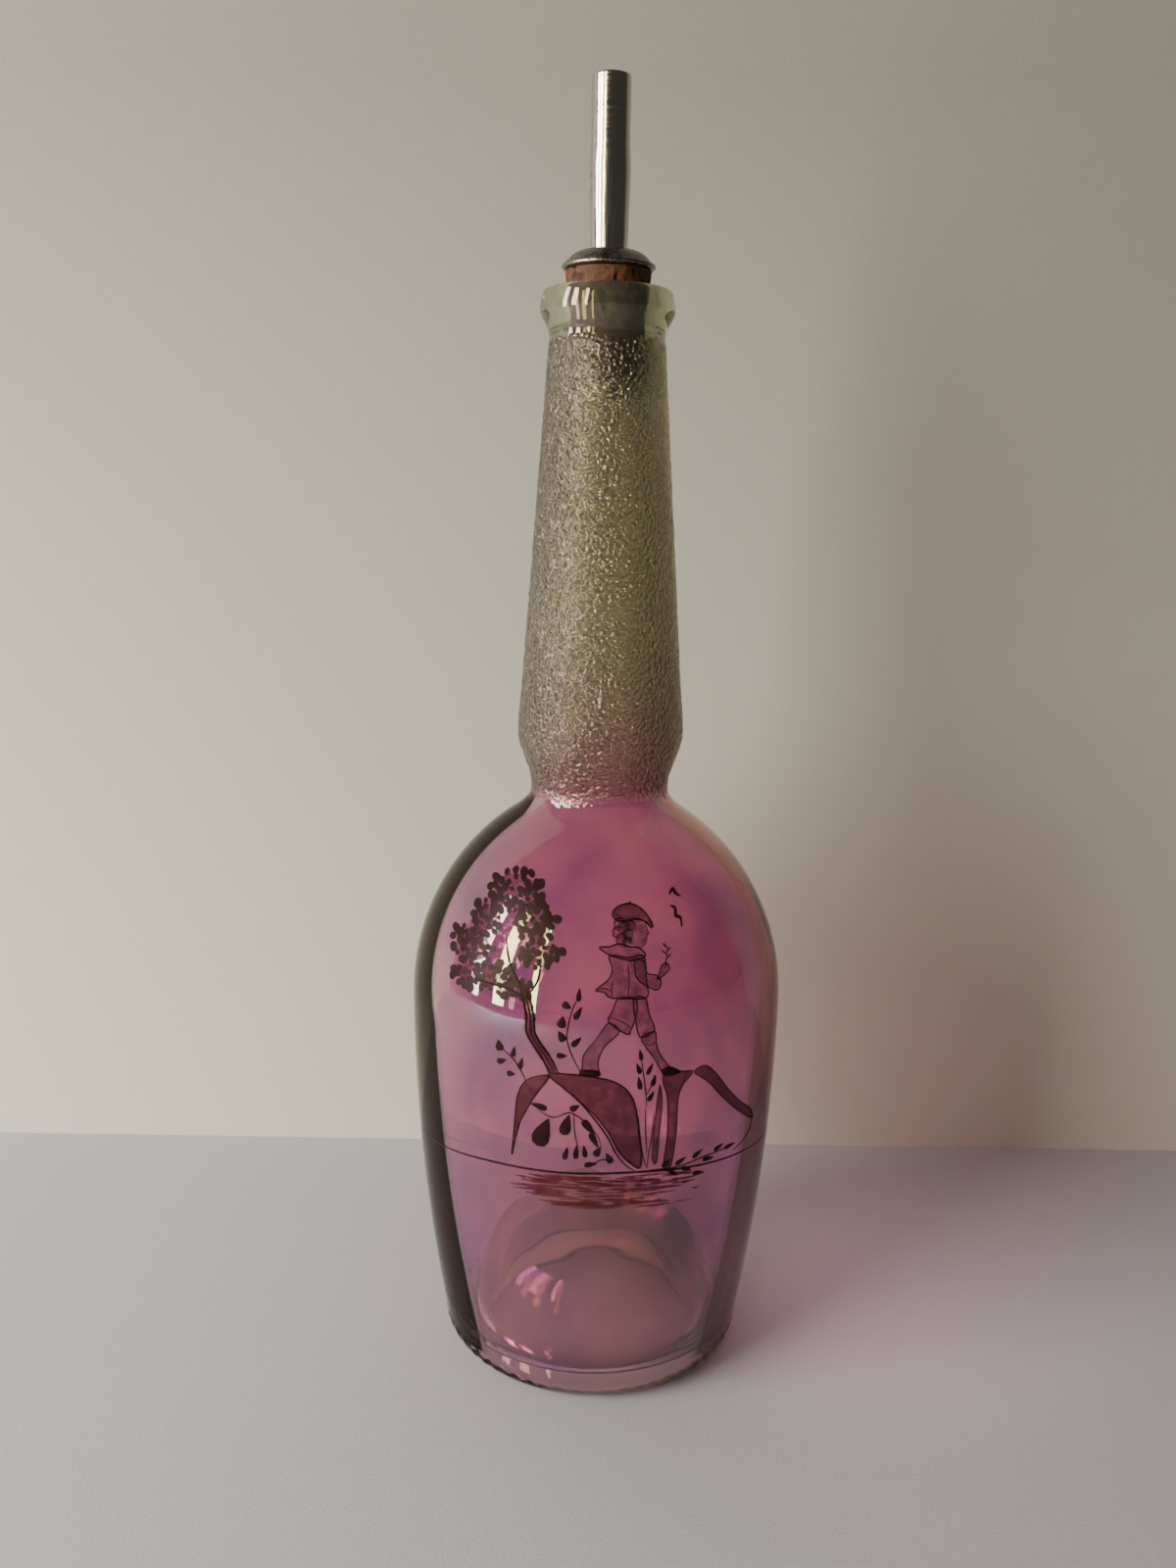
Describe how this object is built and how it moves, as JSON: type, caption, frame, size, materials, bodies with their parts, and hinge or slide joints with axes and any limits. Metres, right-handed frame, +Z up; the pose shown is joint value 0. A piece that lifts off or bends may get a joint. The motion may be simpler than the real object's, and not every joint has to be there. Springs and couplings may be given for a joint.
{
  "type": "decorated glass bottle with pouring stopper",
  "caption": "Club-shaped stained glass bottle with a tall stippled neck, painted enamel scene, and a cork-seated metal pouring spout.",
  "frame": {"origin": "centre of the standing ring, on the plane that the bottle stands on", "axes": "+Z up the bottle's axis towards the spout; the painted side faces -Y; +X to the viewer's right when facing the painting"},
  "size_m": [0.088, 0.0883, 0.2915],
  "materials": {
    "stained_glass": "clear soda-lime glass, cranberry-pink lustre stain on the body, clear stippled neck",
    "brown_enamel": "fired vitreous enamel, dark brown line work and washes",
    "red_enamel_wash": "fired vitreous enamel, dry-brushed red-brown",
    "natural_cork": "natural cork, cut and sanded, dark with age",
    "nickel_plate": "nickel plate on brass, polished, fine turning marks",
    "tinned_brass": "tinned brass, dull"
  },
  "bodies": {
    "bottle": {"bottle_glass": "stained_glass", "enamel_tree_canopy": "brown_enamel", "enamel_tree_trunk": "brown_enamel", "enamel_figure": "brown_enamel", "enamel_rocks": "brown_enamel", "enamel_plants": "brown_enamel", "enamel_birds": "brown_enamel", "enamel_ground_wash": "red_enamel_wash", "enamel_ground_line": "brown_enamel"},
    "cork": {"cork_stopper": "natural_cork"},
    "spout": {"spout_tube": "nickel_plate", "pourer_cap": "nickel_plate", "breather_tube": "tinned_brass", "retaining_washer": "tinned_brass"}
  },
  "joints": [
    {"name": "pourer_lift", "type": "slide", "parent": "bottle", "child": "cork", "axis": [0, 0, 1], "range_m": [0, 0.065]},
    {"name": "spout_turn", "type": "hinge", "parent": "cork", "child": "spout", "pos_m": [0, 0, 0.2528], "axis": [0, 0, 1], "continuous": true}
  ]
}
